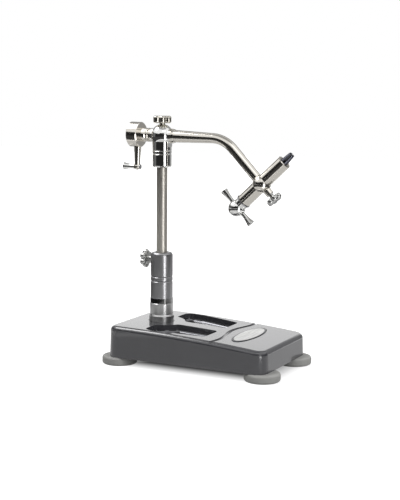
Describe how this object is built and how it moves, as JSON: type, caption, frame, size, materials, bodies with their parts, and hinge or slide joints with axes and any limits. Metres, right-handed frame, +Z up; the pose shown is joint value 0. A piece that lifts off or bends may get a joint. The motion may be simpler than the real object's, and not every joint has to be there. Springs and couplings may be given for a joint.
{
  "type": "fly tying vise",
  "caption": "Rotary fly tying vise: a bent arm with crank and collet jaw turns in a head on a clamped stem, over a weighted pedestal base with tool trays.",
  "frame": {"origin": "on the floor under the middle of the base", "axes": "+Z up along the stem, +X along the rotary axis from the crank to the jaw, -Y towards the user"},
  "size_m": [0.1658, 0.0998, 0.2138],
  "materials": {
    "coated_block": "satin grey coat on a cast block",
    "badge_aluminium": "brushed, blank",
    "foot_rubber": "matt grey",
    "plain_steel": "plain",
    "gunmetal_chrome": "dark polished plate",
    "black_ring": "gloss black",
    "polished_chrome": "mirror polished",
    "warm_nickel": "satin nickel plate",
    "bronze": "plain bearing bronze",
    "blackened_steel": "blackened"
  },
  "bodies": {
    "base": {"base_block": "coated_block", "badge_plate": "badge_aluminium", "foot_front_left": "foot_rubber", "foot_front_right": "foot_rubber", "foot_rear_left": "foot_rubber", "foot_rear_right": "foot_rubber", "foot_screws": "plain_steel", "post_bolt": "plain_steel", "post_washer": "plain_steel", "post_socket": "gunmetal_chrome", "post_band": "black_ring", "post_sleeve": "gunmetal_chrome"},
    "stem_clamp_pad": {"stem_clamp_pad": "bronze"},
    "stem_clamp_knob": {"stem_clamp_knob": "polished_chrome"},
    "stem": {"stem": "polished_chrome"},
    "head": {"head_housing": "polished_chrome", "head_grub_screw": "blackened_steel", "bush_left": "polished_chrome", "bush_right": "polished_chrome"},
    "tension_pad": {"tension_pad": "bronze"},
    "tension_knob": {"tension_knob": "polished_chrome"},
    "arm": {"rotary_arm": "warm_nickel", "spacer_collar": "warm_nickel", "crank_drum": "warm_nickel", "drum_grub_screw": "blackened_steel", "crank_rod": "warm_nickel", "handle_pin": "plain_steel"},
    "crank_handle": {"crank_handle": "polished_chrome"},
    "thrust_washer": {"thrust_washer": "plain_steel"},
    "jaw_barrel": {"jaw_barrel": "warm_nickel", "collet_key": "plain_steel"},
    "collet": {"collet": "blackened_steel"},
    "draw_knob": {"draw_knob": "polished_chrome", "tommy_handle_upper": "polished_chrome", "tommy_handle_lower": "polished_chrome"},
    "jaw_lock_pad": {"jaw_lock_pad": "bronze"},
    "jaw_lock_knob": {"jaw_lock_knob": "polished_chrome"}
  },
  "joints": [
    {"name": "stem_slide", "type": "slide", "parent": "base", "child": "stem", "axis": [0, 0, 1], "range_m": [-0.008, 0.028]},
    {"name": "stem_clamp_screw", "type": "slide", "parent": "base", "child": "stem_clamp_pad", "axis": [-1, 0, 0], "range_m": [0, 0.0008]},
    {"name": "stem_clamp_turn", "type": "hinge", "parent": "stem_clamp_pad", "child": "stem_clamp_knob", "pos_m": [-0.04515, 0, 0.08827], "axis": [-1, 0, 0], "range_deg": [0, 360]},
    {"name": "head_swivel", "type": "hinge", "parent": "stem", "child": "head", "pos_m": [-0.04515, 0, 0.1967], "axis": [0, 0, 1], "continuous": true},
    {"name": "tension_screw", "type": "slide", "parent": "head", "child": "tension_pad", "axis": [0, 0, 1], "range_m": [0, 0.0008]},
    {"name": "tension_turn", "type": "hinge", "parent": "tension_pad", "child": "tension_knob", "pos_m": [-0.04515, 0, 0.1967], "axis": [0, 0, 1], "range_deg": [0, 360]},
    {"name": "arm_rotation", "type": "hinge", "parent": "head", "child": "arm", "pos_m": [-0.04515, 0, 0.1967], "axis": [0.9998, 0, -0.0209], "continuous": true},
    {"name": "handle_spin", "type": "hinge", "parent": "arm", "child": "crank_handle", "pos_m": [-0.06996, 0, 0.16891], "axis": [-0.9998, 0, 0.0209], "continuous": true},
    {"name": "jaw_slide", "type": "slide", "parent": "arm", "child": "thrust_washer", "axis": [0.7266, 0, 0.6871], "range_m": [-0.016, 0.014]},
    {"name": "jaw_turn", "type": "hinge", "parent": "thrust_washer", "child": "jaw_barrel", "pos_m": [0.04938, 0, 0.15871], "axis": [0.7266, 0, 0.6871], "continuous": true},
    {"name": "draw_knob_turn", "type": "hinge", "parent": "jaw_barrel", "child": "draw_knob", "pos_m": [0.04938, 0, 0.15871], "axis": [-0.7266, 0, -0.6871], "range_deg": [0, 720]},
    {"name": "collet_slide", "type": "slide", "parent": "jaw_barrel", "child": "collet", "axis": [0.7266, 0, 0.6871], "range_m": [0, 0.0016]},
    {"name": "jaw_lock_screw", "type": "slide", "parent": "arm", "child": "jaw_lock_pad", "axis": [0.6871, 0, -0.7266], "range_m": [0, 0.0008]},
    {"name": "jaw_lock_turn", "type": "hinge", "parent": "jaw_lock_pad", "child": "jaw_lock_knob", "pos_m": [0.04938, 0, 0.15871], "axis": [0.6871, 0, -0.7266], "range_deg": [0, 360]}
  ],
  "couplings": [
    {"joint": "stem_clamp_screw", "follows": "stem_clamp_turn", "m_per_rad": 0.00012732},
    {"joint": "tension_screw", "follows": "tension_turn", "m_per_rad": 0.00012732},
    {"joint": "collet_slide", "follows": "draw_knob_turn", "m_per_rad": 0.00012732},
    {"joint": "jaw_lock_screw", "follows": "jaw_lock_turn", "m_per_rad": 0.00012732}
  ]
}
